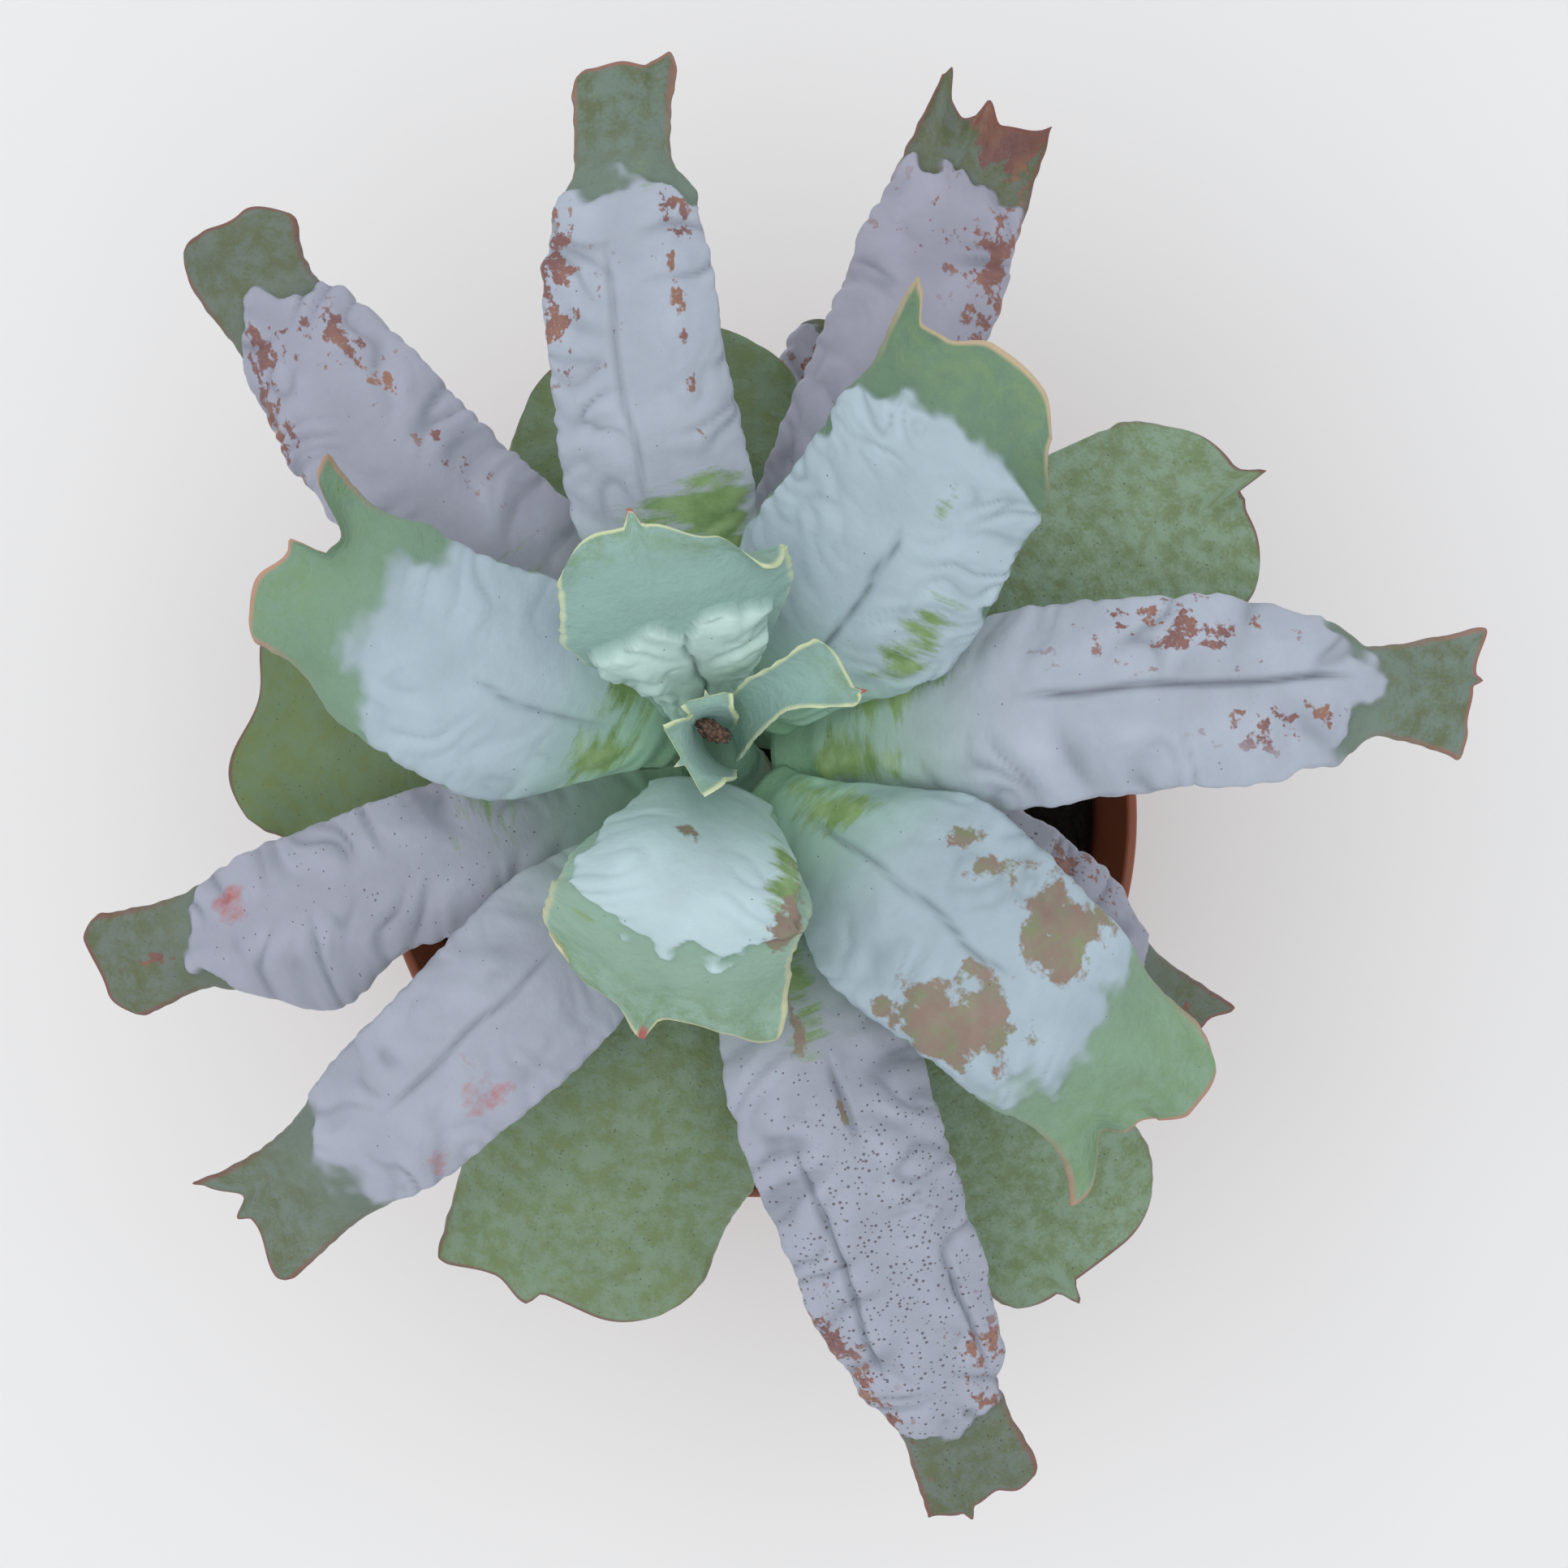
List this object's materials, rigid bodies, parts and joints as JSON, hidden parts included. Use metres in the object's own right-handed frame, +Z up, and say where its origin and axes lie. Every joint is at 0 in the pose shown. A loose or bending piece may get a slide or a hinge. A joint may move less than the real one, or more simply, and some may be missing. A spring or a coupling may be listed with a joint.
{
  "type": "potted succulent",
  "caption": "Leaning rosette of thick leaves with wrinkled raised plates, in a round tapered nursery pot of soil.",
  "frame": {"origin": "middle of the pot's underside, on the surface it stands on", "axes": "+Z up along the pot's axis; +X and +Y level, with the plant leaning towards +Y and a little to -X"},
  "size_m": [0.202, 0.2122, 0.1972],
  "materials": {
    "pot_plastic": "moulded, satin",
    "peat": "crumbly peat with pale grains",
    "stem_bark": "corky, with leaf scars",
    "leaf_lilac": "waxy bloom over a fleshy leaf",
    "leaf_young": "waxy bloom over a fleshy leaf",
    "leaf_green": "satin fleshy leaf",
    "leaf_dried": "dry and papery"
  },
  "bodies": {
    "root": {"pot": "pot_plastic", "soil": "peat", "stem": "stem_bark", "leaf_w": "leaf_lilac", "leaf_ne": "leaf_lilac", "leaf_se": "leaf_lilac", "leaf_e": "leaf_lilac", "leaf_n": "leaf_lilac", "leaf_sw": "leaf_lilac", "leaf_s": "leaf_lilac", "leaf_wsw": "leaf_lilac", "leaf_nw": "leaf_lilac", "leaf_nne": "leaf_lilac", "leaf_ese": "leaf_lilac", "leaf_n_inner": "leaf_young", "leaf_s_inner": "leaf_young", "heart_west": "leaf_young", "heart_east": "leaf_young", "heart_north": "leaf_young", "leaf_ene_low": "leaf_green", "leaf_ssw_low": "leaf_green", "leaf_w_low": "leaf_green", "leaf_n_low": "leaf_green", "leaf_sse_low": "leaf_green", "leaf_nne_low": "leaf_green", "dried_leaf": "leaf_dried"}
  },
  "joints": []
}
